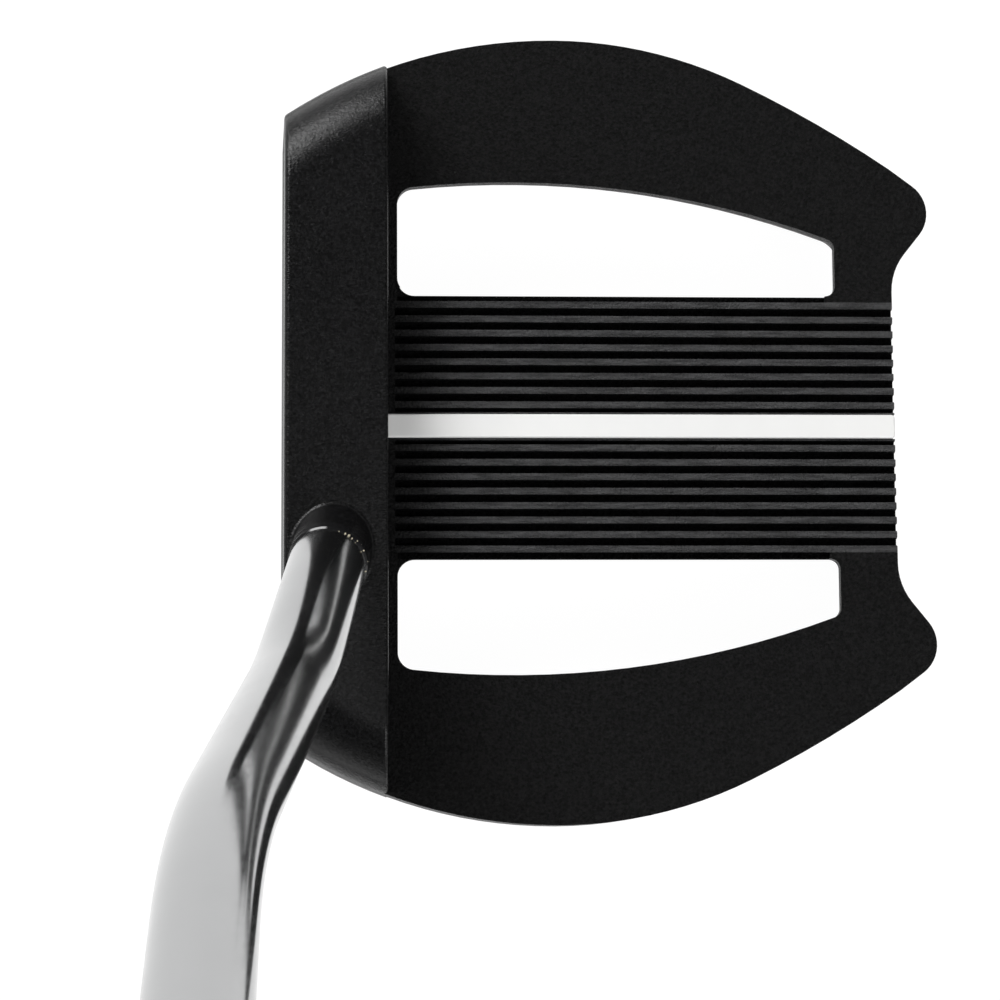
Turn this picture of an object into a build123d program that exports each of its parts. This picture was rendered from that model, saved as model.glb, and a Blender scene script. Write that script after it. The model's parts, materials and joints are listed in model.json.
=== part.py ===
from build123d import *
import os
from math import cos, radians, sin, tan

# A right-handed mallet putter, in millimetres.
# +X runs from the face to the back, +Y from the heel to the toe, +Z up.
# The origin is the middle of the flat of the sole, on the ground.

# --- Head: plan view -------------------------------------------------------
FACE_X = -27.0              # top edge of the face
BAR_DEPTH = 12.9            # front to back of the tall face bar
REAR_DEPTH = 78.0           # face to the straight rear edge
HALF_WIDTH = 50.6           # centre plane to the widest point of a wing
WIDEST_DEPTH = 34.5         # how far behind the face that is
FACE_HALF = 39.7            # half width of the face
FACE_INSET = 1.0            # how much less that is just in front of it
SHOULDER = (58.8, 45.0)     # depth and side offset where the wing's edge flattens
WING_STRAIGHT = (78.0, 33.8)  # where the edge turns straight, towards the corner
WING_CORNER = (84.7, 28.8)  # sharp corner of the wing, before it is rounded
WING_ROOT = (78.0, 20.4)    # where the wing's inner flank meets the rear edge
WING_TIP_RADIUS = 4.5
WING_ROOT_RADIUS = 8.0
FACE_CORNER_RADIUS = 0.7

# --- Head: heights ---------------------------------------------------------
FACE_HEIGHT = 26.0
LOFT = 2.0                  # degrees that the face leans back
FLANGE_TOP = 17.0
WING_BOTTOM = 7.0
SOLE_FLAT = 46.0            # front to back of the flat of the sole
REAR_RISE = 5.5             # how far the sole has risen at the wing tips
CAMBER_HALF_FLAT = 15.0     # half width of the flat of the sole at the face
END_RISE = 5.0              # how far the sole has risen at the heel and toe
FOOT_HEIGHT = 2.0           # where the face meets the rise of the sole
STEP_FILLET = 1.6
END_ROLL = 8.5              # rounding of the bar's top at the heel and toe
EDGE = 0.4                  # small rounding along exposed edges
PAST = 1.0                  # how far a blank or a cutter runs past what it meets

# --- Head: windows, ridges and alignment line ------------------------------
WINDOW_FRONT = 14.2         # depth behind the face
WINDOW_REAR = 70.6
WINDOW_INNER = 17.0
WINDOW_CROWN = (29.0, 31.75)
WINDOW_OUTER_RADIUS = 118.0
WINDOW_FRONT_RADIUS = 2.2
WINDOW_REAR_RADIUS = 1.3
WINDOW_LAND = 1.5           # upright part of a window's wall
WINDOW_FLARE = 14.0         # degrees that the wall opens out below the land
BRIDGE_KEEL_HALF = 14.8     # half width of the bridge below the wings
RELIEF_RADIUS = 3.0         # in the corner between the bar and that keel
RIDGE_PITCH = 1.853
RIDGE_COUNT = 8             # on each side of the alignment line
FIRST_RIDGE = 1.5           # pitches from the centre plane
RIDGE_WIDTH = 0.84
RIDGE_HEIGHT = 0.9
RIDGE_BEVEL = 0.22          # width of the bevel along each edge of a ridge
RIDGE_BEVEL_DROP = 0.09
RIDGE_SLOPE = 0.14          # how much wider a ridge is at its foot, on each side
GROOVE_START = 1.0          # behind the bar
LINE_WIDTH = 3.16
LINE_DEPTH = 1.5
LINE_PROUD = 0.35
LINE_END_RADIUS = 0.5
LINE_EASE = 0.25

# --- Fittings in the head --------------------------------------------------
INSERT_WIDTH = 56.0
INSERT_HEIGHT = 16.5
INSERT_CORNER = 4.0
INSERT_THICK = 2.2
PAD_THICK = 0.4
PAD_MARGIN = 0.5
PLATE_LENGTH = 42.0
PLATE_WIDTH = 27.0
PLATE_THICK = 6.0
PLATE_CORNER = 5.0
PLATE_SCREW_X = 16.0
PLATE_SCREW_Y = 8.5
SCREW_RADIUS = 1.5
SCREW_HEAD_RADIUS = 3.0
SCREW_LENGTH = 11.0
SCREW_SOCKET = (1.15, 1.3)  # corner radius and depth of the hexagon
WEIGHT_DEPTH = 50.0
WEIGHT_Y = 39.6
WEIGHT_RADIUS = 5.2
WEIGHT_RIM_RADIUS = 6.4
WEIGHT_RIM_THICK = 1.5
WEIGHT_LENGTH = 7.0
WEIGHT_EASE = 0.4
WEIGHT_SOCKET = (2.9, 3.0)  # corner radius and depth of the hexagon
SEAL_SECTION = 0.45         # radius of the ring's section
SEAT_GAP = 0.2
CLEARANCE = 0.05
HAIR = 0.01                 # keeps pieces that only touch from cutting each other

# --- Hosel and shaft -------------------------------------------------------
HOSEL_DEPTH = 5.96          # behind the face's top edge
HOSEL_Y = -16.7
TIP_FORWARD = 6.9           # degrees that the lowest run leans to the face
TIP_TO_HEEL = 28.2          # and to the heel
MIDDLE_FORWARD = 5.8
MIDDLE_TO_HEEL = 17.1
LIE = 60.0                  # degrees between the straight shaft and the ground
TIP_RUN = 38.9              # head's top to the first bend
MIDDLE_RUN = 63.3           # first bend to the second
BEND_RADII = (69.0, 120.0)
BEND_END = 60.0             # second bend to the end of the bent length
BOSS_RADIUS = 4.9
BOSS_LENGTH = 3.5
BOSS_ROOT = 3.0             # how far the boss runs down into the head
BOSS_FILLET = 0.5
FERRULE_TOP = 5.2
FERRULE_EASE = 0.2
SHANK_RADIUS = 3.2
SHANK_LENGTH = 17.0
POST_RADIUS = 4.0
POST_TOP = 27.2
POST_CHAMFER = 0.6
BOND = 0.15
SHAFT_RADIUS = 4.7
SHAFT_WALL = 0.55
PLUG_LENGTH = 4.4
PLUG_GAP = 0.3
CLUB_LENGTH = 864.0
STEP_COUNT = 12
STEP_LENGTH = 25.4
STEP_GAIN = 0.2             # on the radius
STEP_TAPER = 1.5
LAST_STEP_FROM_BUTT = 300.0

# --- Grip ------------------------------------------------------------------
TAPE_THICK = 0.15
TAPE_INSET = 1.0            # from the grip's mouth
SKIN_THICK = 1.2
GRIP_CORNER = 2.6
GRIP_SIDE_SLOPE = 0.6       # how much a smaller section's flat narrows
CAP_THICK = 4.0
CAP_ROUND = 1.4
CAP_STEM = 10.0
VENT_RADIUS = 0.8
# Distance below the butt, width of the flat, axis to the flat, axis to the back.
GRIP_SECTIONS = (
    (0.0, 14.0, 10.0, 13.0),
    (50.0, 15.0, 10.2, 15.5),
    (120.0, 14.5, 10.0, 12.8),
    (200.0, 13.0, 9.6, 11.2),
    (265.0, 9.0, 9.0, 9.8),
)
GRIP_LENGTH = GRIP_SECTIONS[-1][0]

# --- Places worked out from the above --------------------------------------
BAR_BACK_X = FACE_X + BAR_DEPTH
REAR_X = FACE_X + REAR_DEPTH
SOLE_FRONT_X = -SOLE_FLAT / 2
SOLE_BACK_X = SOLE_FLAT / 2
BIG = 200.0


def leaning(forward, to_heel):
    """A unit vector that rises while it leans to the face and to the heel."""
    return Vector(-tan(radians(forward)), -tan(radians(to_heel)), 1).normalized()


TIP_AXIS = leaning(TIP_FORWARD, TIP_TO_HEEL)
MIDDLE_AXIS = leaning(MIDDLE_FORWARD, MIDDLE_TO_HEEL)
SHAFT_AXIS = Vector(0, -cos(radians(LIE)), sin(radians(LIE)))
HOSEL = Vector(FACE_X + HOSEL_DEPTH, HOSEL_Y, FACE_HEIGHT)
FIRST_BEND = HOSEL + TIP_AXIS * TIP_RUN
SECOND_BEND = FIRST_BEND + MIDDLE_AXIS * MIDDLE_RUN
UPPER_RUN = CLUB_LENGTH - CAP_THICK - SECOND_BEND.Z / sin(radians(LIE))
BUTT = SECOND_BEND + SHAFT_AXIS * UPPER_RUN
BUTT_RADIUS = SHAFT_RADIUS + STEP_COUNT * STEP_GAIN
SHAFT_LINE = Axis(BUTT, SHAFT_AXIS)


def along_tip(distance):
    """A plane across the hosel's axis, so far above the top of the head."""
    return Plane(origin=HOSEL + TIP_AXIS * distance, x_dir=(1, 0, 0), z_dir=TIP_AXIS)


def below_butt(distance):
    """A plane across the grip, with its Y axis towards the flat of the grip."""
    return Plane(origin=BUTT - SHAFT_AXIS * distance, x_dir=(1, 0, 0), z_dir=SHAFT_AXIS)


def face_plane(depth):
    """A plane parallel to the face and so far behind it, with its normal outwards."""
    lean = radians(LOFT)
    outward = Vector(-cos(lean), 0, sin(lean))
    middle = FACE_HEIGHT / 2
    foot = Vector(FACE_X - middle * tan(lean), 0, middle)
    return Plane(origin=foot - outward * depth, x_dir=(0, -1, 0), z_dir=outward)


def rod(plane, radius, length):
    """A cylinder that starts on a plane and runs along its normal."""
    return extrude(plane * Circle(radius), amount=length)


def ring(plane, outer, inner, length):
    """A tube that starts on a plane and runs along its normal."""
    return extrude(plane * (Circle(outer) - Circle(inner)), amount=length)


def at_depth(depth, side):
    """A point in plan, from its depth behind the face and its side offset."""
    return (FACE_X + depth, side)


# --- Head ------------------------------------------------------------------

def head_plan():
    """Half of the head seen from above, mirrored into the whole outline."""
    widest = at_depth(WIDEST_DEPTH, HALF_WIDTH)
    front = at_depth(-2 * PAST, 0)
    front_corner = at_depth(-2 * PAST, FACE_HALF - FACE_INSET)
    with BuildSketch() as plan:
        with BuildLine():
            Line(front, front_corner)
            TangentArc(widest, front_corner, tangent=(-1, 0))
            curve = TangentArc(widest, at_depth(*SHOULDER), tangent=(1, 0))
            edge = TangentArc(at_depth(*SHOULDER), at_depth(*WING_STRAIGHT), tangent=curve % 1)
            Line(edge @ 1, at_depth(*WING_CORNER))
            Line(at_depth(*WING_CORNER), at_depth(*WING_ROOT))
            Line(at_depth(*WING_ROOT), (REAR_X, 0))
            Line((REAR_X, 0), front)
        make_face()
        tips = plan.vertices().sort_by(Axis.X)
        fillet(tips[-1], WING_TIP_RADIUS)
        roots = [v for v in plan.vertices() if abs(v.Y - WING_ROOT[1]) < 0.01]
        fillet(roots, WING_ROOT_RADIUS)
        mirror(about=Plane.XZ)
    return plan.sketch


def head_side():
    """The head seen from the toe: face, bar, step, flange and cambered sole."""
    back = REAR_X + 10
    foot = (FACE_X - (FACE_HEIGHT - FOOT_HEIGHT) * tan(radians(LOFT)), FOOT_HEIGHT)
    with BuildSketch(Plane.XZ) as side:
        with BuildLine():
            Polyline(
                foot,
                (FACE_X, FACE_HEIGHT),
                (BAR_BACK_X, FACE_HEIGHT),
                (BAR_BACK_X, FLANGE_TOP),
                (back, FLANGE_TOP),
                (back, REAR_RISE),
            )
            TangentArc((SOLE_BACK_X, 0), (back, REAR_RISE), tangent=(1, 0))
            Line((SOLE_BACK_X, 0), (SOLE_FRONT_X, 0))
            TangentArc((SOLE_FRONT_X, 0), foot, tangent=(-1, 0))
        make_face()
        step = [v for v in side.vertices() if abs(v.X - BAR_BACK_X) + abs(v.Z - FLANGE_TOP) < 0.01]
        fillet(step, STEP_FILLET)
    return side.sketch


def head_front():
    """The head seen from the front: a sole that rises to the heel and toe."""
    edge = HALF_WIDTH + 2 * PAST
    with BuildSketch(Plane.YZ) as front:
        with BuildLine():
            Line((-CAMBER_HALF_FLAT, 0), (CAMBER_HALF_FLAT, 0))
            TangentArc((CAMBER_HALF_FLAT, 0), (edge, END_RISE), tangent=(1, 0))
            Polyline(
                (edge, END_RISE),
                (edge, FACE_HEIGHT + PAST),
                (-edge, FACE_HEIGHT + PAST),
                (-edge, END_RISE),
            )
            TangentArc((-CAMBER_HALF_FLAT, 0), (-edge, END_RISE), tangent=(-1, 0))
        make_face()
    return front.sketch


def window_plan():
    """One window, on the toe side: straight but for its bowed outer edge."""
    centre_y = WINDOW_CROWN[1] - WINDOW_OUTER_RADIUS

    def outer(depth):
        run = depth - WINDOW_CROWN[0]
        return at_depth(depth, centre_y + (WINDOW_OUTER_RADIUS**2 - run**2) ** 0.5)

    with BuildSketch() as window:
        with BuildLine():
            ThreePointArc(outer(WINDOW_FRONT), outer(WINDOW_CROWN[0]), outer(WINDOW_REAR))
            Polyline(
                outer(WINDOW_REAR),
                at_depth(WINDOW_REAR, WINDOW_INNER),
                at_depth(WINDOW_FRONT, WINDOW_INNER),
                outer(WINDOW_FRONT),
            )
        make_face()
        corners = window.vertices().sort_by(Axis.X)
        fillet(corners[:2], WINDOW_FRONT_RADIUS)
        corners = window.vertices().sort_by(Axis.X)
        fillet(corners[-2:], WINDOW_REAR_RADIUS)
    return window.sketch


def window_cutter():
    """A window's upright land, and the part below it that flares outwards."""
    land_bottom = FLANGE_TOP - WINDOW_LAND
    plan = Pos(0, 0, land_bottom) * window_plan()
    flare = extrude(plan, amount=WING_BOTTOM - land_bottom, taper=-WINDOW_FLARE)
    return extrude(plan, amount=WINDOW_LAND + PAST) + flare


def wing_relief():
    """The space under one wing, outside the keel of the bridge."""
    corner = (BAR_BACK_X, BRIDGE_KEEL_HALF, -PAST)
    block = Pos(*corner) * Box(BIG, BIG, WING_BOTTOM + PAST, align=(Align.MIN,) * 3)
    inner = block.edges().filter_by(Axis.Z).sort_by(lambda e: e.center().X + e.center().Y)[0]
    return fillet(inner, RELIEF_RADIUS)


def groove(y_low, y_high):
    """A groove between two ridges, and the bevels along the ridges' edges."""
    bottom = FLANGE_TOP - RIDGE_HEIGHT
    shoulder = FLANGE_TOP - RIDGE_BEVEL_DROP
    profile = Polygon(
        (y_low - RIDGE_BEVEL, FLANGE_TOP),
        (y_low, shoulder),
        (y_low + RIDGE_SLOPE, bottom),
        (y_high - RIDGE_SLOPE, bottom),
        (y_high, shoulder),
        (y_high + RIDGE_BEVEL, FLANGE_TOP),
        align=None,
    )
    front = Plane(origin=(BAR_BACK_X + GROOVE_START, 0, 0), x_dir=(0, 1, 0), z_dir=(1, 0, 0))
    return extrude(front * profile, amount=BIG)


def ridge_grooves():
    """All the grooves on both sides of the alignment line."""
    half = RIDGE_WIDTH / 2
    crests = [(FIRST_RIDGE + k) * RIDGE_PITCH for k in range(RIDGE_COUNT)]
    valleys = [(low + half, high - half) for low, high in zip(crests, crests[1:])]
    valleys.append((LINE_WIDTH / 2 + RIDGE_BEVEL, crests[0] - half))
    cutters = []
    for low, high in valleys:
        cutters += [groove(low, high), groove(-high, -low)]
    last = crests[-1] + half
    shelf_width = WINDOW_INNER + PAST - last
    length = WINDOW_REAR - WINDOW_FRONT - WINDOW_REAR_RADIUS
    shelf = Box(length, shelf_width, RIDGE_HEIGHT, align=(Align.MIN, Align.MIN, Align.MAX))
    toe_shelf = Pos(FACE_X + WINDOW_FRONT, last, FLANGE_TOP) * shelf
    return cutters + [toe_shelf, mirror(toe_shelf, about=Plane.XZ)]


def insert_outline():
    return RectangleRounded(INSERT_WIDTH, INSERT_HEIGHT, INSERT_CORNER)


def weight_plane(side, height):
    """A plane on a weight's axis: side is +1 at the toe and -1 at the heel."""
    return Plane(origin=(FACE_X + WEIGHT_DEPTH, side * WEIGHT_Y, height))


def weight_seat(side):
    """The stepped hole for a weight, open underneath the wing."""
    seat_depth = WEIGHT_RIM_THICK + 2 * SEAL_SECTION + CLEARANCE
    wide = rod(weight_plane(side, WING_BOTTOM - PAST), WEIGHT_RIM_RADIUS + SEAT_GAP, PAST + seat_depth)
    deep = rod(weight_plane(side, WING_BOTTOM), WEIGHT_RADIUS + CLEARANCE, WEIGHT_LENGTH + SEAT_GAP)
    return wide + deep


def plate_screw_places():
    return [Pos(x, y) for x in (-PLATE_SCREW_X, PLATE_SCREW_X) for y in (-PLATE_SCREW_Y, PLATE_SCREW_Y)]


def sole_plate_blank(margin):
    """The sole plate's block, or with a margin the pocket that takes it."""
    outline = RectangleRounded(PLATE_LENGTH + 2 * margin, PLATE_WIDTH + 2 * margin, PLATE_CORNER)
    return extrude(outline, amount=PLATE_THICK)


def head_blank():
    """The head before its holes and pockets, with its edges rounded."""
    solid = extrude(Pos(0, 0, -PAST) * head_plan(), amount=FACE_HEIGHT + 2 * PAST)
    solid &= extrude(head_side(), amount=BIG / 2, both=True)
    solid &= extrude(head_front(), amount=BIG / 2, both=True)
    solid -= wing_relief()
    solid -= mirror(wing_relief(), about=Plane.XZ)
    top = [e for e in solid.edges() if e.center().Z > FACE_HEIGHT - 0.01]
    ends = [e for e in top if e.geom_type == GeomType.CIRCLE]
    solid = fillet(ends, END_ROLL)
    back_rim = [
        e for e in solid.edges()
        if abs(e.center().X - BAR_BACK_X) < 0.01 and e.center().Z > FLANGE_TOP + STEP_FILLET
    ]
    solid = fillet(back_rim, EDGE)
    corners = [
        e for e in solid.edges()
        if e.center().X < FACE_X + 1 and abs(e.center().Y) > FACE_HALF - 9 and abs(e.tangent_at(0.5).Z) > 0.3
    ]
    solid = fillet(corners, FACE_CORNER_RADIUS)
    return solid


def boss_foot(solid):
    """The edge where the hosel's boss meets the top of the bar."""
    return [
        e for e in solid.edges()
        if e.geom_type == GeomType.ELLIPSE and abs(e.center().Z - FACE_HEIGHT) < 0.01
    ]


def head_body():
    solid = head_blank()
    solid += rod(along_tip(-BOSS_ROOT), BOSS_RADIUS, BOSS_ROOT + BOSS_LENGTH)
    solid = fillet(boss_foot(solid), BOSS_FILLET)
    for side in (0, 1):
        cutter = window_cutter()
        solid -= mirror(cutter, about=Plane.XZ) if side else cutter
    for cutter in ridge_grooves():
        solid -= cutter
    slot = Box(BIG, LINE_WIDTH, LINE_DEPTH + PAST, align=(Align.MIN, Align.CENTER, Align.MIN))
    solid -= Pos(BAR_BACK_X, 0, FLANGE_TOP - LINE_DEPTH) * slot
    pocket_depth = INSERT_THICK + PAD_THICK
    solid -= extrude(face_plane(pocket_depth) * insert_outline(), amount=pocket_depth + 2 * PAST)
    solid -= rod(along_tip(BOSS_LENGTH), SHANK_RADIUS + BOND, -(SHANK_LENGTH + BOND))
    solid -= sole_plate_blank(CLEARANCE)
    for place in plate_screw_places():
        solid -= place * rod(Plane.XY, SCREW_RADIUS, SCREW_LENGTH + PAST)
    for side in (1, -1):
        solid -= weight_seat(side)
    return solid


def alignment_line():
    """The white bar let into the bridge, with its rear corners and top edges eased."""
    width = LINE_WIDTH - 2 * CLEARANCE
    height = LINE_DEPTH + LINE_PROUD
    length = REAR_X - BAR_BACK_X
    bar = Box(length, width, height, align=(Align.MIN, Align.CENTER, Align.MIN))
    bar = Pos(BAR_BACK_X, 0, FLANGE_TOP - LINE_DEPTH) * bar
    bar = fillet(bar.edges().filter_by(Axis.Z).group_by(Axis.X)[-1], LINE_END_RADIUS)
    return fillet(bar.faces().sort_by(Axis.Z)[-1].edges().group_by(Axis.X)[1:], LINE_EASE)


def face_insert():
    outline = offset(insert_outline(), -CLEARANCE)
    return extrude(face_plane(INSERT_THICK) * outline, amount=INSERT_THICK)


def insert_pad():
    outline = offset(insert_outline(), -PAD_MARGIN)
    return extrude(face_plane(INSERT_THICK + PAD_THICK) * outline, amount=PAD_THICK)


def sole_plate():
    plate = sole_plate_blank(0)
    for place in plate_screw_places():
        plate -= place * rod(Plane.XY, SCREW_RADIUS + CLEARANCE, PLATE_THICK)
        plate -= place * screw_head()
    return plate


def screw_head():
    """A countersunk head, flush with the sole."""
    height = SCREW_HEAD_RADIUS - SCREW_RADIUS
    align = (Align.CENTER, Align.CENTER, Align.MIN)
    return Cone(SCREW_HEAD_RADIUS, SCREW_RADIUS, height, align=align)


def sole_plate_screws():
    """Four countersunk screws with hexagon sockets."""
    hexagon_radius, socket_depth = SCREW_SOCKET
    shank = rod(Plane.XY, SCREW_RADIUS - HAIR, SCREW_LENGTH)
    socket = extrude(RegularPolygon(hexagon_radius, 6), amount=socket_depth)
    screw = screw_head() + shank - socket
    return Compound([place * screw for place in plate_screw_places()])


def weight(side):
    """A plug with a rim, and a hexagon socket to turn it by."""
    plug = rod(weight_plane(side, WING_BOTTOM), WEIGHT_RADIUS, WEIGHT_LENGTH)
    rim = rod(weight_plane(side, WING_BOTTOM), WEIGHT_RIM_RADIUS, WEIGHT_RIM_THICK)
    hexagon_radius, socket_depth = WEIGHT_SOCKET
    socket = extrude(weight_plane(side, WING_BOTTOM) * RegularPolygon(hexagon_radius, 6), amount=socket_depth)
    outer_edge = rim.edges().sort_by(Axis.Z)[0]
    return plug + fillet(outer_edge, WEIGHT_EASE) - socket


def weight_seal(side):
    """The O-ring between a weight's rim and its seat."""
    middle = WING_BOTTOM + WEIGHT_RIM_THICK + SEAL_SECTION
    return weight_plane(side, middle).location * Torus(WEIGHT_RADIUS + 2 * SEAL_SECTION, SEAL_SECTION - HAIR)


# --- Hosel and shaft -------------------------------------------------------

def hosel_post():
    """A steel post: a shank in the head, and a longer end inside the shaft."""
    shank = rod(along_tip(BOSS_LENGTH), SHANK_RADIUS, -SHANK_LENGTH)
    post = rod(along_tip(BOSS_LENGTH), POST_RADIUS, POST_TOP - BOSS_LENGTH)
    return shank + chamfer(post.edges().sort_by(Axis.Z)[-1], POST_CHAMFER)


def hosel_bond():
    """The epoxy around the shank."""
    return ring(along_tip(BOSS_LENGTH), SHANK_RADIUS + BOND, SHANK_RADIUS, -SHANK_LENGTH)


def ferrule():
    """The black collar between the head and the shaft."""
    collar = ring(along_tip(BOSS_LENGTH), BOSS_RADIUS, POST_RADIUS + HAIR, FERRULE_TOP - BOSS_LENGTH)
    top = collar.edges().filter_by(GeomType.CIRCLE).sort_by(lambda e: e.center().Z + e.radius)[-1]
    return chamfer(top, FERRULE_EASE)


def shaft_bond():
    """The epoxy between the post and the shaft."""
    inside = SHAFT_RADIUS - SHAFT_WALL
    return ring(along_tip(FERRULE_TOP), inside, POST_RADIUS, POST_TOP - FERRULE_TOP - POST_CHAMFER)


def shaft_tip_plug():
    """The foam stop just above the post."""
    return rod(along_tip(POST_TOP + PLUG_GAP), SHAFT_RADIUS - SHAFT_WALL - CLEARANCE, PLUG_LENGTH)


def bent_rod(radius, end):
    """The lower shaft as a solid rod: two bends between three straight runs."""
    start = HOSEL + TIP_AXIS * (FERRULE_TOP + CLEARANCE)
    path = FilletPolyline(start, FIRST_BEND, SECOND_BEND, end, radius=list(BEND_RADII))
    return sweep(along_tip(FERRULE_TOP + CLEARANCE) * Circle(radius), path=path)


def stepped_rod(radius, start):
    """The upper shaft as a solid rod, a little thicker at each step."""
    length = (BUTT - start).length
    first_step = length - LAST_STEP_FROM_BUTT - (STEP_COUNT - 1) * STEP_LENGTH
    points = [(0, 0), (radius, 0)]
    for step in range(STEP_COUNT):
        height = first_step + step * STEP_LENGTH
        points += [(radius, height), (radius + STEP_GAIN, height + STEP_TAPER)]
        radius += STEP_GAIN
    points += [(radius, length), (0, length)]
    profile = make_face(Plane.XZ * Polyline(*points, close=True))
    upright = revolve(profile, Axis.Z)
    return Plane(origin=start, x_dir=(1, 0, 0), z_dir=SHAFT_AXIS).location * upright


def shaft():
    """One steel tube, open at the tip and at the butt."""
    joint = SECOND_BEND + SHAFT_AXIS * BEND_END
    outside = bent_rod(SHAFT_RADIUS, joint) + stepped_rod(SHAFT_RADIUS, joint)
    bore = SHAFT_RADIUS - SHAFT_WALL
    inside = bent_rod(bore, joint) + stepped_rod(bore, joint)
    return outside - inside


# --- Grip ------------------------------------------------------------------

def grip_section(row, shrink):
    """One section of the grip: a flat front, a round back and eased corners."""
    distance, flat, front, back = row
    flat_half = flat / 2 - shrink * GRIP_SIDE_SLOPE
    front -= shrink
    back -= shrink
    with BuildSketch(below_butt(distance)) as section:
        with BuildLine():
            Line((-flat_half, front), (flat_half, front))
            ThreePointArc((flat_half, front), (0, -back), (-flat_half, front))
        make_face()
        fillet(section.vertices(), GRIP_CORNER - shrink)
    return section.sketch


def grip_form(shrink):
    """The grip's whole form, or with a shrink the space inside its skin."""
    return loft([grip_section(row, shrink) for row in reversed(GRIP_SECTIONS)])


def grip_bore():
    return rod(below_butt(GRIP_LENGTH + PAST), BUTT_RADIUS + TAPE_THICK, GRIP_LENGTH + 2 * PAST)


def grip_skin():
    return grip_form(0) - grip_form(SKIN_THICK)


def grip_core():
    return grip_form(SKIN_THICK) - grip_bore()


def grip_tape():
    length = GRIP_LENGTH - TAPE_INSET
    return ring(below_butt(length), BUTT_RADIUS + TAPE_THICK, BUTT_RADIUS, length)


def grip_cap():
    """The end cap: a rounded disc, and a vented stem in the shaft's bore."""
    disc = extrude(grip_section(GRIP_SECTIONS[0], 0), amount=CAP_THICK)
    outer = disc.faces().sort_by(SHAFT_LINE)[-1]
    disc = fillet(outer.edges(), CAP_ROUND)
    stem = rod(below_butt(0), BUTT_RADIUS - SHAFT_WALL - CLEARANCE, -CAP_STEM)
    vent = rod(below_butt(CAP_STEM + PAST), VENT_RADIUS, CAP_STEM + CAP_THICK + 2 * PAST)
    return disc + stem - vent


NODES = {
    "head_body": head_body(),
    "alignment_line": alignment_line(),
    "face_insert": face_insert(),
    "insert_pad": insert_pad(),
    "sole_plate": sole_plate(),
    "sole_plate_screws": sole_plate_screws(),
    "toe_weight": weight(1),
    "heel_weight": weight(-1),
    "toe_weight_seal": weight_seal(1),
    "heel_weight_seal": weight_seal(-1),
    "hosel_post": hosel_post(),
    "hosel_bond": hosel_bond(),
    "ferrule": ferrule(),
    "shaft_bond": shaft_bond(),
    "shaft_tip_plug": shaft_tip_plug(),
    "shaft": shaft(),
    "grip_tape": grip_tape(),
    "grip_core": grip_core(),
    "grip_skin": grip_skin(),
    "grip_cap": grip_cap(),
}

os.makedirs("parts", exist_ok=True)
for name, shape in NODES.items():
    export_step(shape, f"parts/{name}.step")
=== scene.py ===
import json
from math import atan2, cos, pi, radians, sin, sqrt, tan

import bmesh
import bpy
from mathutils import Matrix, Vector, noise

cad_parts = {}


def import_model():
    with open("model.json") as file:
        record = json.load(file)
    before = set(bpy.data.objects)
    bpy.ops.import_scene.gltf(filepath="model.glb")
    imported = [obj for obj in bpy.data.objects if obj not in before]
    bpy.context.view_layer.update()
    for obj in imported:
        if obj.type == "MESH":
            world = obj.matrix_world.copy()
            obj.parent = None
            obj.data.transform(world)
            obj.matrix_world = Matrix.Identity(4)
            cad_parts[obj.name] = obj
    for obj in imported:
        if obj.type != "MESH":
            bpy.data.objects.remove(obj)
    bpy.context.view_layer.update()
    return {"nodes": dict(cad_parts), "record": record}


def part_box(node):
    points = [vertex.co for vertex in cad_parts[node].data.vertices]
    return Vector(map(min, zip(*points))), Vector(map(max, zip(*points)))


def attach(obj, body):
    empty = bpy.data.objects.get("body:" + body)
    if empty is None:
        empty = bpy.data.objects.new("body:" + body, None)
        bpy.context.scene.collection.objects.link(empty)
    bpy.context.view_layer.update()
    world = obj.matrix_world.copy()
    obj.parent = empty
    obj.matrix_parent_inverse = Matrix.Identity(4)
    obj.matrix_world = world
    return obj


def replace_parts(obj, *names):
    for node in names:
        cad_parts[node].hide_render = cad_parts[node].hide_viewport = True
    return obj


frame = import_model()
MM = 0.001

# Sizes shared with the CAD, in millimetres.
FACE_X = -27.0
FACE_HEIGHT = 26.0
LOFT = 2.0
BAR_BACK_X = -14.1
FLANGE_TOP = 17.0
BRIDGE_HALF = 16.9          # half width of the bridge, just inside its edges
RIDGED_HALF = 16.2          # half width of the part of it that has ridges
RIDGE_HEIGHT = 0.9
GROOVE_START = 1.0          # behind the bar
HOSEL = Vector((-21.04, -16.7, FACE_HEIGHT))
TIP_LEAN = (6.9, 28.2)
MIDDLE_LEAN = (5.8, 17.1)
LIE = 60.0
TIP_RUN = 38.9
MIDDLE_RUN = 63.3
BEND_RADII = (69.0, 120.0)
SHAFT_START = 5.25
SHAFT_RADIUS = 4.7
SHAFT_WALL = 0.55
CLUB_LENGTH = 864.0
CAP_THICK = 4.0
STEP_COUNT = 12
STEP_LENGTH = 25.4
STEP_GAIN = 0.2
STEP_TAPER = 1.5
LAST_STEP_FROM_BUTT = 300.0
INSERT_WIDTH = 55.9
INSERT_HEIGHT = 16.4
INSERT_CORNER = 3.95
INSERT_THICK = 2.2
SKIN_THICK = 1.2
GRIP_CORNER = 2.6
# Distance below the butt, width of the flat, axis to the flat, axis to the back.
GRIP_SECTIONS = (
    (0.0, 14.0, 10.0, 13.0),
    (50.0, 15.0, 10.2, 15.5),
    (120.0, 14.5, 10.0, 12.8),
    (200.0, 13.0, 9.6, 11.2),
    (265.0, 9.0, 9.0, 9.8),
)
GRIP_LENGTH = GRIP_SECTIONS[-1][0]

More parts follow.
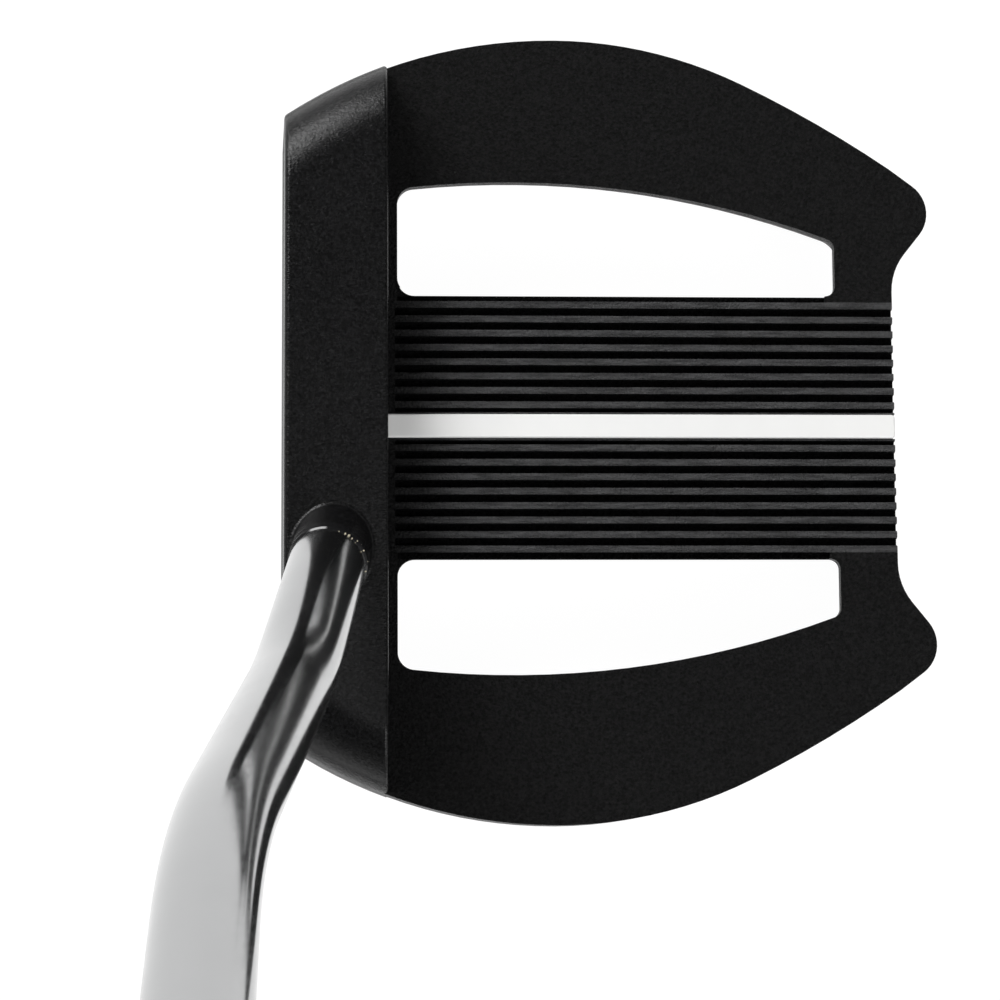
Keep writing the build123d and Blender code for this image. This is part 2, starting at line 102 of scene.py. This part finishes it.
# Fine shapes that only the visual model has, in millimetres.
TUBE_SIDES = 96
TUBE_SPACING = 1.5          # between the shaft's rings
LIP = 0.22                  # rounding of the shaft's lower end
LIP_STEPS = 6
BORE_START = 0.1            # above the shaft's lower end
GRIP_SIDES = 144
GRIP_SPACING = 0.6          # between the grip's outer rings
GRIP_INNER_ROWS = 40
GRIP_SIDE_SLOPE = 0.6       # how much a smaller section's flat narrows
MOUTH_EASE = 0.5
PLAIN_END = (6.0, 9.0)      # where the grip's pattern fades in from each end
RIB_PITCH = 2.4
RIB_DEPTH = 0.26
DIAMOND_PITCH = 5.2
DIAMONDS_AROUND = 13
DIAMOND_DEPTH = 0.3
MILL_PITCH = 1.1
MILL_DEPTH = 0.16
MILL_MARGIN = 0.6           # plain edge above and below the milled grooves
INSERT_ROWS = 330


def leaning(forward, to_heel):
    return Vector((-tan(radians(forward)), -tan(radians(to_heel)), 1)).normalized()


TIP_AXIS = leaning(*TIP_LEAN)
MIDDLE_AXIS = leaning(*MIDDLE_LEAN)
SHAFT_AXIS = Vector((0, -cos(radians(LIE)), sin(radians(LIE))))
FIRST_BEND = HOSEL + TIP_AXIS * TIP_RUN
SECOND_BEND = FIRST_BEND + MIDDLE_AXIS * MIDDLE_RUN
UPPER_RUN = CLUB_LENGTH - CAP_THICK - SECOND_BEND.z / sin(radians(LIE))
BUTT = SECOND_BEND + SHAFT_AXIS * UPPER_RUN


# --- Materials -------------------------------------------------------------

class Look:
    """A material and the few node recipes that the looks share."""

    def __init__(self, name, colour, rough, metallic=0.0):
        self.material = bpy.data.materials.new(name)
        self.material.use_nodes = True
        self.tree = self.material.node_tree
        self.shader = self.tree.nodes["Principled BSDF"]
        self.shader.inputs["Base Color"].default_value = (*colour, 1)
        self.shader.inputs["Roughness"].default_value = rough
        self.shader.inputs["Metallic"].default_value = metallic
        self.place = self.add("ShaderNodeTexCoord").outputs["Object"]

    def add(self, kind, **settings):
        node = self.tree.nodes.new(kind)
        for key, value in settings.items():
            setattr(node, key, value)
        return node

    def feed(self, socket, value):
        if isinstance(value, bpy.types.NodeSocket):
            self.tree.links.new(value, socket)
        else:
            socket.default_value = value

    def maths(self, operation, first, second=0.0, third=0.0):
        node = self.add("ShaderNodeMath", operation=operation)
        for socket, value in zip(node.inputs, (first, second, third)):
            self.feed(socket, value)
        return node.outputs[0]

    def stretched(self, scale):
        node = self.add("ShaderNodeMapping")
        self.feed(node.inputs["Vector"], self.place)
        node.inputs["Scale"].default_value = scale
        return node.outputs["Vector"]

    def noise(self, size, detail=2.0, stretch=None, harshness=0.5):
        """Noise from 0 to 1 with features of about this size in millimetres."""
        node = self.add("ShaderNodeTexNoise")
        self.feed(node.inputs["Vector"], self.stretched(stretch) if stretch else self.place)
        node.inputs["Scale"].default_value = 1 / (size * MM)
        node.inputs["Detail"].default_value = detail
        node.inputs["Roughness"].default_value = harshness
        return node.outputs["Fac"]

    def cells(self, size):
        node = self.add("ShaderNodeTexVoronoi")
        self.feed(node.inputs["Vector"], self.place)
        node.inputs["Scale"].default_value = 1 / (size * MM)
        return node.outputs["Distance"]

    def remap(self, value, low, high, out_low=0.0, out_high=1.0, smooth=False):
        node = self.add("ShaderNodeMapRange")
        if smooth:
            node.interpolation_type = "SMOOTHSTEP"
        for socket, number in zip(node.inputs, (value, low, high, out_low, out_high)):
            self.feed(socket, number)
        return node.outputs[0]

    def blend(self, factor, first, second):
        node = self.add("ShaderNodeMix", data_type="RGBA")
        self.feed(node.inputs[0], factor)
        self.feed(node.inputs[6], first)
        self.feed(node.inputs[7], second)
        return node.outputs[2]

    def tint(self, factor, first, second):
        self.feed(self.shader.inputs["Base Color"], self.blend(factor, (*first, 1), (*second, 1)))

    def rough(self, factor, low, high):
        self.feed(self.shader.inputs["Roughness"], self.remap(factor, 0, 1, low, high))

    def bump(self, height, depth):
        """Bump of this depth in millimetres, on top of any bump so far."""
        node = self.add("ShaderNodeBump")
        node.inputs["Distance"].default_value = depth * MM
        self.feed(node.inputs["Height"], height)
        normal = self.shader.inputs["Normal"]
        if normal.is_linked:
            self.feed(node.inputs["Normal"], normal.links[0].from_socket)
        self.feed(normal, node.outputs["Normal"])

    def axis(self, letter):
        node = self.add("ShaderNodeSeparateXYZ")
        self.feed(node.inputs[0], self.place)
        return node.outputs[letter]


def ridge_masks(look):
    """Masks for painted shade in the valleys between the ridges, and for the painted highlight along their
    crests, which fades to painted shade near the bar.
    """
    height = look.axis("Z")
    sideways = look.maths("ABSOLUTE", look.axis("Y"))
    in_width = look.maths("LESS_THAN", sideways, BRIDGE_HALF * MM)
    behind_bar = look.maths("GREATER_THAN", look.axis("X"), (BAR_BACK_X + GROOVE_START) * MM)
    not_below = look.maths("GREATER_THAN", height, (FLANGE_TOP - RIDGE_HEIGHT - 0.1) * MM)
    on_bridge = look.maths("MULTIPLY", look.maths("MULTIPLY", in_width, behind_bar), not_below)
    sunk = look.remap(height, (FLANGE_TOP - 0.1) * MM, (FLANGE_TOP - 0.2) * MM)
    # Mask for the painted shade between the ridges.
    valley = look.maths("MULTIPLY", sunk, on_bridge)
    ridged = look.maths("LESS_THAN", sideways, RIDGED_HALF * MM)
    raised = look.maths("SUBTRACT", 1.0, sunk)
    crest = look.maths("MULTIPLY", look.maths("MULTIPLY", on_bridge, ridged), raised)
    streaks = look.remap(look.noise(0.45, 3.0, stretch=(0.12, 1.0, 1.0)), 0.35, 0.62, 0.45, 1.0)
    # Painted shade: the crest highlight fades out towards the bar's wall.
    bar_shade_fade = look.remap(look.axis("X"), BAR_BACK_X * MM, (BAR_BACK_X + 12) * MM, 0.1, 1.0, smooth=True)
    # Painted highlight along the ridges' crests, broken up by the streaks.
    crest_highlight = look.maths("MULTIPLY", look.maths("MULTIPLY", crest, streaks), bar_shade_fade)
    return valley, crest_highlight


def black_anodised():
    """Blasted black anodising: coarse on the wings, finer on the bar, with a painted highlight on the
    ridges' crests and painted shade in their valleys.
    """
    look = Look("black_anodised", (0.008, 0.008, 0.0085), 0.42)
    deep_black, black = (0.001, 0.001, 0.001, 1), (0.008, 0.008, 0.0084, 1)
    # The first grey is a painted highlight for the ridges' crests; the second is real dust.
    crest_highlight_grey, dust_grey = (0.088, 0.088, 0.09, 1), (0.12, 0.12, 0.12, 1)
    valley, crest_highlight = ridge_masks(look)
    on_bar = look.remap(look.axis("Z"), (FLANGE_TOP + 2) * MM, (FLANGE_TOP + 5) * MM, smooth=True)
    coarse = look.noise(0.34, 3.0, harshness=0.6)
    fine = look.noise(0.16, 2.0, stretch=(0.5, 1.0, 1.0))
    broad = look.noise(14.0, 2.0)
    specks = look.remap(look.cells(1.9), 0.035, 0.02)
    dusty = look.remap(look.noise(6.0, 1.0), 0.62, 0.7)
    body = look.blend(look.remap(coarse, 0.35, 0.65), deep_black, black)
    # Painted highlight laid on the crests.
    with_crest_highlight = look.blend(crest_highlight, body, crest_highlight_grey)
    dusted = look.blend(look.maths("MULTIPLY", specks, dusty), with_crest_highlight, dust_grey)
    look.feed(look.shader.inputs["Base Color"], dusted)
    sheen = look.remap(look.noise(0.42, 2.0, harshness=0.6), 0.35, 0.65, 0.13, 0.26)
    # Painted shade: the valleys between the ridges lose almost all their sheen, so they read near black.
    look.feed(look.shader.inputs["Specular IOR Level"], look.remap(valley, 0, 1, sheen, 0.02))
    wing_rough = look.remap(coarse, 0.3, 0.7, 0.3, 0.42)
    bar_rough = look.remap(broad, 0.3, 0.7, 0.23, 0.28)
    mix = look.add("ShaderNodeMix", data_type="FLOAT")
    for socket, value in zip((mix.inputs[0], mix.inputs[2], mix.inputs[3]), (on_bar, wing_rough, bar_rough)):
        look.feed(socket, value)
    look.feed(look.shader.inputs["Roughness"], mix.outputs[0])
    off_bar = look.maths("SUBTRACT", 1.0, on_bar)
    look.bump(look.maths("MULTIPLY", coarse, off_bar), 1.3)
    look.bump(fine, 0.05)
    return look.material


def white_gloss():
    """Glossy white filling with a thin clear coat."""
    look = Look("white_gloss", (0.78, 0.78, 0.77), 0.22)
    look.tint(look.noise(5.0, 3.0), (0.84, 0.84, 0.83), (0.79, 0.79, 0.78))
    look.rough(look.noise(1.2, 3.0), 0.16, 0.3)
    look.shader.inputs["Coat Weight"].default_value = 0.4
    look.shader.inputs["Coat Roughness"].default_value = 0.08
    look.bump(look.noise(0.9, 2.0, stretch=(0.15, 1.0, 1.0)), 0.006)
    return look.material


def insert_polymer():
    """Satin moulded polymer."""
    look = Look("insert_polymer", (0.02, 0.02, 0.021), 0.45)
    look.tint(look.noise(3.0, 3.0), (0.016, 0.016, 0.017), (0.028, 0.028, 0.03))
    look.rough(look.noise(0.6, 3.0), 0.38, 0.56)
    look.bump(look.noise(0.18, 2.0), 0.01)
    return look.material


def chrome_plate():
    """Bright plating with a little waviness and faint lengthwise rubbing."""
    look = Look("chrome_plate", (0.46, 0.463, 0.466), 0.05, 1.0)
    rubbing = look.noise(0.5, 3.0, stretch=(1.0, 1.0, 0.04))
    cloud = look.noise(9.0, 3.0)
    look.tint(cloud, (0.47, 0.473, 0.476), (0.43, 0.433, 0.436))
    look.rough(look.maths("MULTIPLY", rubbing, cloud), 0.1, 0.3)
    look.bump(look.noise(16.0, 1.0), 0.05)
    look.bump(look.noise(1.4, 2.0), 0.0006)
    return look.material


def stainless():
    """Steel brushed along the head."""
    look = Look("stainless", (0.42, 0.42, 0.41), 0.32, 1.0)
    lines = look.noise(0.22, 4.0, stretch=(0.02, 1.0, 1.0), harshness=0.7)
    look.tint(look.noise(8.0, 2.0), (0.46, 0.46, 0.45), (0.38, 0.38, 0.37))
    look.rough(lines, 0.22, 0.45)
    look.bump(lines, 0.012)
    look.bump(look.noise(2.5, 2.0), 0.004)
    return look.material


def weight_steel():
    """Steel faced on a lathe, with its rings round each weight's axis."""
    look = Look("weight_steel", (0.28, 0.28, 0.28), 0.3, 1.0)
    low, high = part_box("toe_weight")
    centre = (low + high) / 2
    across = look.maths("SUBTRACT", look.axis("X"), centre.x)
    side = look.maths("SUBTRACT", look.maths("ABSOLUTE", look.axis("Y")), centre.y)
    squares = look.maths("ADD", look.maths("MULTIPLY", across, across), look.maths("MULTIPLY", side, side))
    radius = look.maths("SQRT", squares)
    rings = look.maths("SINE", look.maths("MULTIPLY", radius, 2 * pi / (0.22 * MM)))
    look.tint(look.noise(2.0, 3.0), (0.32, 0.32, 0.32), (0.22, 0.22, 0.225))
    look.rough(look.noise(0.4, 3.0), 0.22, 0.4)
    look.bump(rings, 0.006)
    look.bump(look.noise(0.3, 2.0), 0.003)
    return look.material


def rubber(name, colour, rough, grain, depth):
    """Rubber, foam or moulded plastic with a grain of this size and depth in millimetres."""
    look = Look(name, colour, rough)
    lighter = [channel * 1.5 for channel in colour]
    look.tint(look.noise(7.0, 3.0), colour, lighter)
    look.rough(look.noise(grain * 3, 3.0), rough - 0.08, rough + 0.1)
    look.bump(look.noise(grain, 2.0), depth)
    return look.material


def ferrule_black():
    """Polished black collar."""
    look = Look("ferrule_black", (0.006, 0.006, 0.0065), 0.12)
    look.tint(look.noise(3.0, 2.0), (0.005, 0.005, 0.0055), (0.01, 0.01, 0.0105))
    look.rough(look.noise(0.5, 3.0), 0.08, 0.2)
    look.bump(look.noise(1.0, 2.0), 0.006)
    return look.material


def dark_steel():
    """Steel blackened by an oxide finish."""
    look = Look("dark_steel", (0.03, 0.03, 0.032), 0.4, 0.6)
    look.tint(look.noise(1.5, 3.0), (0.022, 0.022, 0.024), (0.045, 0.045, 0.047))
    look.rough(look.noise(0.6, 3.0), 0.32, 0.5)
    look.bump(look.noise(0.3, 2.0), 0.008)
    return look.material


def epoxy():
    """Set amber glue."""
    look = Look("epoxy", (0.62, 0.56, 0.42), 0.2)
    look.tint(look.noise(0.8, 2.0), (0.66, 0.6, 0.46), (0.5, 0.44, 0.32))
    look.rough(look.noise(0.5, 2.0), 0.12, 0.32)
    look.bump(look.noise(0.4, 2.0), 0.01)
    return look.material


def paper_tape():
    """Creased paper tape."""
    look = Look("tape", (0.75, 0.72, 0.62), 0.85)
    look.tint(look.noise(0.5, 4.0), (0.78, 0.75, 0.65), (0.66, 0.62, 0.52))
    look.rough(look.noise(0.3, 3.0), 0.78, 0.95)
    look.bump(look.noise(0.15, 3.0), 0.02)
    return look.material


LOOKS = {
    "black_anodised": black_anodised(),
    "white_gloss": white_gloss(),
    "insert_polymer": insert_polymer(),
    "adhesive_pad": rubber("adhesive_pad", (0.5, 0.5, 0.47), 0.7, 0.4, 0.02),
    "stainless": stainless(),
    "weight_steel": weight_steel(),
    "seal_rubber": rubber("seal_rubber", (0.008, 0.008, 0.008), 0.5, 0.2, 0.01),
    "dark_steel": dark_steel(),
    "epoxy": epoxy(),
    "ferrule_black": ferrule_black(),
    "plug_foam": rubber("plug_foam", (0.5, 0.48, 0.42), 0.85, 0.5, 0.06),
    "chrome_plate": chrome_plate(),
    "tape": paper_tape(),
    "grip_foam": rubber("grip_foam", (0.09, 0.09, 0.09), 0.85, 0.6, 0.06),
    "grip_black": rubber("grip_black", (0.014, 0.014, 0.0145), 0.62, 0.25, 0.02),
    "cap_black": rubber("cap_black", (0.016, 0.016, 0.0165), 0.5, 0.3, 0.02),
}

for part in frame["record"]["subparts"]:
    slots = frame["nodes"][part["node"]].material_slots
    for slot in slots:
        slot.material = LOOKS[part["material_slot"]]


# --- Pieces ----------------------------------------------------------------

def add_piece(name, mesh, slot, smooth=True):
    """Shade a mesh, give it its look and let it ride on the club."""
    for face in mesh.polygons:
        face.use_smooth = smooth
    mesh.materials.append(LOOKS[slot])
    piece = bpy.data.objects.new(name, mesh)
    bpy.context.scene.collection.objects.link(piece)
    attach(piece, "root")
    return piece


def mesh_piece(name, points, faces, slot, smooth=True):
    """A piece made from points in millimetres."""
    mesh = bpy.data.meshes.new(name)
    mesh.from_pydata([tuple(Vector(point) * MM) for point in points], [], faces)
    shape = bmesh.new()
    shape.from_mesh(mesh)
    bmesh.ops.recalc_face_normals(shape, faces=shape.faces)
    shape.to_mesh(mesh)
    shape.free()
    return add_piece(name, mesh, slot, smooth)


def ring_faces(ring_count, ring_size, closed):
    """Quads between rings of points, and between the last and the first if closed."""
    faces = []
    pairs = ring_count if closed else ring_count - 1
    for row in range(pairs):
        here, there = row * ring_size, (row + 1) % ring_count * ring_size
        for k in range(ring_size):
            after = (k + 1) % ring_size
            faces.append((here + k, here + after, there + after, there + k))
    return faces


def filleted_path(corners, radii, spacing):
    """Points and directions along straight runs joined by arcs."""
    stations = []
    start = corners[0]
    for before, corner, after, radius in zip(corners, corners[1:], corners[2:], radii):
        come, leave = (corner - before).normalized(), (after - corner).normalized()
        turn = come.angle(leave)
        tangent = radius * tan(turn / 2)
        stations += straight(start, corner - come * tangent, spacing)
        inwards = (leave - come * come.dot(leave)).normalized()
        centre = corner - come * tangent + inwards * radius
        count = max(12, int(radius * turn / spacing))
        for k in range(1, count):
            angle = turn * k / count
            point = centre + (come * sin(angle) - inwards * cos(angle)) * radius
            stations.append((point, come * cos(angle) + inwards * sin(angle)))
        start = corner + leave * tangent
    return stations + straight(start, corners[-1], spacing, last=True)


def straight(start, end, spacing, last=False):
    """Points and directions along a straight run, with its end only if asked."""
    run = end - start
    count = max(1, round(run.length / spacing))
    direction = run.normalized()
    return [(start + run * (k / count), direction) for k in range(count + last)]


def cross_frames(stations):
    """Two directions across the path at each station, carried along without twist."""
    across = Vector((1, 0, 0))
    frames = []
    for point, direction in stations:
        across = (across - direction * across.dot(direction)).normalized()
        frames.append((point, direction, across, direction.cross(across)))
    return frames


def shaft_radius(distance_to_butt):
    """Outside radius of the stepped shaft, from the distance still to run."""
    radius = SHAFT_RADIUS
    for step in range(STEP_COUNT):
        foot = LAST_STEP_FROM_BUTT + (STEP_COUNT - 1 - step) * STEP_LENGTH
        risen = (foot - distance_to_butt) / STEP_TAPER
        radius += STEP_GAIN * min(1, max(0, risen))
    return radius


def lip_rings(frame_there):
    """Rings that round the lower end of the shaft."""
    point, direction, across, other = frame_there
    rings = []
    for k in range(LIP_STEPS + 1):
        angle = pi / 2 * k / LIP_STEPS
        inset = LIP * (1 - sin(angle))
        rings.append((point + direction * LIP * (1 - cos(angle)), across, other, SHAFT_RADIUS - inset))
    return rings


def shaft_piece():
    """The steel tube: outside, rounded lip at the tip, and bore, as one skin."""
    start = HOSEL + TIP_AXIS * SHAFT_START
    stations = filleted_path((start, FIRST_BEND, SECOND_BEND, BUTT), BEND_RADII, TUBE_SPACING)
    lengths = [0.0]
    for (here, _), (there, _) in zip(stations, stations[1:]):
        lengths.append(lengths[-1] + (there - here).length)
    frames = cross_frames(stations)
    walls = []
    for (point, _, across, other), length in zip(frames[1:], lengths[1:]):
        walls.append((point, across, other, shaft_radius(lengths[-1] - length)))
    point, direction, across, other = frames[0]
    bore = [(point + direction * BORE_START, across, other, SHAFT_RADIUS - SHAFT_WALL)]
    bore += [(centre, a, o, radius - SHAFT_WALL) for centre, a, o, radius in walls]
    rings = lip_rings(frames[0]) + walls + bore[::-1]
    points = []
    for centre, across, other, radius in rings:
        for k in range(TUBE_SIDES):
            angle = 2 * pi * k / TUBE_SIDES
            points.append(centre + (across * cos(angle) + other * sin(angle)) * radius)
    return mesh_piece("shaft_tube", points, ring_faces(len(rings), TUBE_SIDES, True), "chrome_plate")


def interpolate(table, distance):
    """Smooth values between the rows of a table, by Catmull-Rom."""
    last = len(table) - 1
    row = max(k for k in range(last) if table[k][0] <= distance)
    before, here, there, after = (table[min(last, max(0, row + k))] for k in (-1, 0, 1, 2))
    t = (distance - here[0]) / (there[0] - here[0])
    values = []
    for a, b, c, d in zip(before[1:], here[1:], there[1:], after[1:]):
        slope_b = (c - a) / (there[0] - before[0]) * (there[0] - here[0])
        slope_c = (d - b) / (after[0] - here[0]) * (there[0] - here[0])
        h = 2 * t**3 - 3 * t**2 + 1
        values.append(h * b + (t**3 - 2 * t**2 + t) * slope_b + (1 - h) * c + (t**3 - t**2) * slope_c)
    return values


def grip_outline(values, shrink, count):
    """Points and normals round the grip from the middle of its flat, and half the flat's width."""
    flat, front, back = values
    half = flat / 2
    front, back = front - shrink, back - shrink
    half -= shrink * GRIP_SIDE_SLOPE
    corner = GRIP_CORNER - shrink
    centre = (half**2 + front**2 - back**2) / (2 * (front + back))
    radius = centre + back
    cx = sqrt((radius - corner) ** 2 - (front - corner - centre) ** 2)
    cy = front - corner
    split = atan2(cy - centre, cx)
    lengths = (cx, corner * (pi / 2 - split), radius * (split + pi / 2))
    total = sum(lengths)
    half_points = []
    for k in range(count // 2 + 1):
        run = total * k / (count // 2)
        if run <= lengths[0]:
            half_points.append((run, front, 0.0, 1.0))
        elif run <= lengths[0] + lengths[1]:
            angle = pi / 2 - (run - lengths[0]) / corner
            half_points.append((cx + corner * cos(angle), cy + corner * sin(angle), cos(angle), sin(angle)))
        else:
            angle = split - (run - lengths[0] - lengths[1]) / radius
            half_points.append((radius * cos(angle), centre + radius * sin(angle), cos(angle), sin(angle)))
    other_half = [(-x, y, -nx, ny) for x, y, nx, ny in half_points[-2:0:-1]]
    return half_points + other_half, lengths[0]


def smooth_step(low, high, value):
    """0 up to low and 1 from high, with an eased rise between."""
    t = min(1, max(0, (value - low) / (high - low)))
    return t * t * (3 - 2 * t)


def grip_relief(distance, turn, flat_share):
    """Depth of the moulded pattern: ribs on the flat, small diamonds round the back."""
    ends = smooth_step(*PLAIN_END, distance) * smooth_step(*PLAIN_END, GRIP_LENGTH - distance)
    from_middle = min(turn, 1 - turn)
    on_flat = 1 - smooth_step(flat_share * 0.86, flat_share * 0.98, from_middle)
    on_back = smooth_step(flat_share * 1.5, flat_share * 1.8, from_middle)
    rib = 0.5 - 0.5 * cos(2 * pi * distance / RIB_PITCH)
    first = cos(2 * pi * (distance / DIAMOND_PITCH + turn * DIAMONDS_AROUND))
    second = cos(2 * pi * (distance / DIAMOND_PITCH - turn * DIAMONDS_AROUND))
    diamond = smooth_step(0.15, 0.75, max(first, second))
    return ends * (RIB_DEPTH * on_flat * rib**2 + DIAMOND_DEPTH * on_back * diamond)


def perimeter(outline):
    total = 0
    for (x, y, _, _), (u, v, _, _) in zip(outline, outline[1:] + outline[:1]):
        total += sqrt((u - x) ** 2 + (v - y) ** 2)
    return total


def grip_ring(distance, shrink, relief):
    """One ring of the grip's skin, with its moulded pattern if relief is true."""
    across = Vector((1, 0, 0))
    upwards = SHAFT_AXIS.cross(across)
    outline, half_flat = grip_outline(interpolate(GRIP_SECTIONS, distance), shrink, GRIP_SIDES)
    flat_share = half_flat / perimeter(outline) * 2
    points = []
    for k, (x, y, nx, ny) in enumerate(outline):
        depth = grip_relief(distance, k / GRIP_SIDES, flat_share) if relief else 0
        x -= nx * depth
        y -= ny * depth
        points.append(BUTT - SHAFT_AXIS * distance + across * x + upwards * y)
    return points


def grip_piece():
    """The grip's skin with its moulded pattern, over a plain inside."""
    rows = int(GRIP_LENGTH / GRIP_SPACING)
    rings = [grip_ring(GRIP_LENGTH * row / rows, 0, True) for row in range(rows + 1)]
    rings.append(grip_ring(GRIP_LENGTH, MOUTH_EASE, False))
    for row in range(GRIP_INNER_ROWS, -1, -1):
        rings.append(grip_ring(GRIP_LENGTH * row / GRIP_INNER_ROWS, SKIN_THICK, False))
    points = [point for ring in rings for point in ring]
    return mesh_piece("grip_sleeve", points, ring_faces(len(rings), GRIP_SIDES, True), "grip_black")


def insert_piece():
    """The face insert, with fine grooves milled across it."""
    lean = radians(LOFT)
    outward = Vector((-cos(lean), 0, sin(lean)))
    upward = Vector((sin(lean), 0, cos(lean)))
    middle = Vector((FACE_X - FACE_HEIGHT / 2 * tan(lean), 0, FACE_HEIGHT / 2))
    half_height = INSERT_HEIGHT / 2
    points = []
    for row in range(INSERT_ROWS + 1):
        v = INSERT_HEIGHT * (row / INSERT_ROWS - 0.5)
        over = max(0, abs(v) - (half_height - INSERT_CORNER))
        half = INSERT_WIDTH / 2 - INSERT_CORNER + sqrt(max(0, INSERT_CORNER**2 - over**2))
        phase = (v / MILL_PITCH) % 1
        land = smooth_step(0.0, 0.16, min(phase, 1 - phase))
        inside = smooth_step(0, 0.5, half_height - abs(v) - MILL_MARGIN)
        front = -MILL_DEPTH * (1 - land) * inside
        for y, out in ((half, front), (-half, front), (-half, -INSERT_THICK), (half, -INSERT_THICK)):
            points.append(middle + upward * v + outward * out + Vector((0, y, 0)))
    ends = [(3, 2, 1, 0), tuple(INSERT_ROWS * 4 + k for k in range(4))]
    faces = ring_faces(INSERT_ROWS + 1, 4, False) + ends
    return mesh_piece("milled_insert", points, faces, "insert_polymer", smooth=False)


def bead_piece():
    """Small beads of set glue where the shaft meets its collar."""
    seat = HOSEL + TIP_AXIS * SHAFT_START
    across = Vector((1, 0, 0))
    across = (across - TIP_AXIS * across.dot(TIP_AXIS)).normalized()
    other = TIP_AXIS.cross(across)
    # Angle round the collar in degrees, distance from its axis, rise and size.
    places = (
        (62, 4.72, 0.05, 0.13), (56, 4.76, 0.0, 0.17), (50, 4.74, 0.12, 0.1), (41, 4.8, -0.2, 0.12),
        (33, 4.84, -0.4, 0.09), (24, 4.84, -0.15, 0.12), (5, 4.86, -0.5, 0.1), (-8, 4.74, 0.05, 0.11),
        (72, 4.7, 0.15, 0.08), (-18, 4.82, -0.3, 0.08),
    )
    shape = bmesh.new()
    for index, (angle, radius, rise, size) in enumerate(places):
        turn = radians(angle)
        centre = seat + (across * cos(turn) + other * sin(turn)) * radius + TIP_AXIS * rise
        made = bmesh.ops.create_icosphere(shape, subdivisions=3, radius=1)["verts"]
        for vert in made:
            bulge = 0.75 + 0.5 * noise.noise(vert.co * 1.7 + Vector((index * 5.1, 0, 0)))
            vert.co = (centre + vert.co * size * bulge) * MM
    mesh = bpy.data.meshes.new("glue_beads")
    shape.to_mesh(mesh)
    shape.free()
    return add_piece("glue_beads", mesh, "epoxy")


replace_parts(shaft_piece(), "shaft")
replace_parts(grip_piece(), "grip_skin")
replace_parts(insert_piece(), "face_insert")
bead_piece()


# --- Stage -----------------------------------------------------------------

HORIZON = 0.46              # brightness of the surroundings, low down and overhead
ZENITH = 0.05
FLOOR_HALF = 6.0            # metres
FLOOR_DROP = 0.3            # millimetres that the floor lies below the sole
HEAD = (0.01, 0, 0.015)     # what the lights aim at, in metres


def floor():
    """A plain pale floor that stays nearly white in the shade."""
    mesh = bpy.data.meshes.new("floor")
    shape = bmesh.new()
    bmesh.ops.create_grid(shape, x_segments=8, y_segments=8, size=FLOOR_HALF)
    bmesh.ops.translate(shape, verts=shape.verts, vec=(0, 0, -FLOOR_DROP * MM))
    shape.to_mesh(mesh)
    shape.free()
    look = Look("floor_paint", (0.1, 0.1, 0.1), 0.9)
    look.tint(look.noise(400.0, 2.0), (0.11, 0.11, 0.11), (0.09, 0.09, 0.09))
    look.shader.inputs["Specular IOR Level"].default_value = 0.0
    look.shader.inputs["Emission Color"].default_value = (1, 1, 1, 1)
    look.shader.inputs["Emission Strength"].default_value = 0.98
    mesh.materials.append(look.material)
    piece = bpy.data.objects.new("floor", mesh)
    bpy.context.scene.collection.objects.link(piece)


def softbox(name, position, width, height, power):
    """A soft rectangular light aimed at the head: metres and watts."""
    light = bpy.data.lights.new(name, "AREA")
    light.shape = "RECTANGLE"
    light.size = width
    light.size_y = height
    light.energy = power
    lamp = bpy.data.objects.new(name, light)
    lamp.location = position
    lamp.rotation_mode = "QUATERNION"
    lamp.rotation_quaternion = (Vector(HEAD) - Vector(position)).to_track_quat("-Z", "Y")
    lamp.visible_camera = False
    bpy.context.scene.collection.objects.link(lamp)


def world():
    """Dim to light by, pale to look at."""
    sky = bpy.data.worlds.new("sky")
    sky.use_nodes = True
    tree = sky.node_tree
    tree.nodes.clear()
    dim = tree.nodes.new("ShaderNodeBackground")
    direction = tree.nodes.new("ShaderNodeTexCoord")
    parts = tree.nodes.new("ShaderNodeSeparateXYZ")
    fade = tree.nodes.new("ShaderNodeMapRange")
    fade.interpolation_type = "SMOOTHSTEP"
    for socket, number in zip(fade.inputs[1:5], (0.1, 0.75, HORIZON, ZENITH)):
        socket.default_value = number
    tree.links.new(direction.outputs["Generated"], parts.inputs[0])
    tree.links.new(parts.outputs["Z"], fade.inputs[0])
    tree.links.new(fade.outputs[0], dim.inputs["Strength"])
    pale = tree.nodes.new("ShaderNodeBackground")
    pale.inputs["Color"].default_value = (0.9, 0.9, 0.9, 1)
    ray = tree.nodes.new("ShaderNodeLightPath")
    mix = tree.nodes.new("ShaderNodeMixShader")
    out = tree.nodes.new("ShaderNodeOutputWorld")
    tree.links.new(ray.outputs["Is Camera Ray"], mix.inputs[0])
    tree.links.new(dim.outputs[0], mix.inputs[1])
    tree.links.new(pale.outputs[0], mix.inputs[2])
    tree.links.new(mix.outputs[0], out.inputs["Surface"])
    bpy.context.scene.world = sky


def camera():
    """Almost straight above the head, a little towards the player and the face."""
    position = Vector((-19.4, -55.9, 381.5)) * MM
    target = Vector((0.2, -9.5, 17.0)) * MM
    up_hint = Vector((0.0061, 1, 0))
    back = (position - target).normalized()
    right = up_hint.cross(back).normalized()
    up = back.cross(right)
    data = bpy.data.cameras.new("camera")
    data.sensor_width = 36
    data.lens = 104.3
    data.clip_start = 0.01
    eye = bpy.data.objects.new("camera", data)
    eye.matrix_world = Matrix.Translation(position) @ Matrix((right, up, back)).transposed().to_4x4()
    bpy.context.scene.collection.objects.link(eye)
    bpy.context.scene.camera = eye


floor()
world()
camera()
softbox("key", (-0.50, 0.66, 0.58), 0.5, 0.6, 11.5)
softbox("left_fill", (-0.80, -0.15, 0.40), 0.5, 0.9, 0.8)
softbox("overhead", (0.12, -0.2, 0.95), 0.35, 0.35, 0.9)
softbox("rear_fill", (0.45, -0.62, 0.75), 0.6, 0.6, 6)
bpy.context.scene.view_settings.view_transform = "Standard"
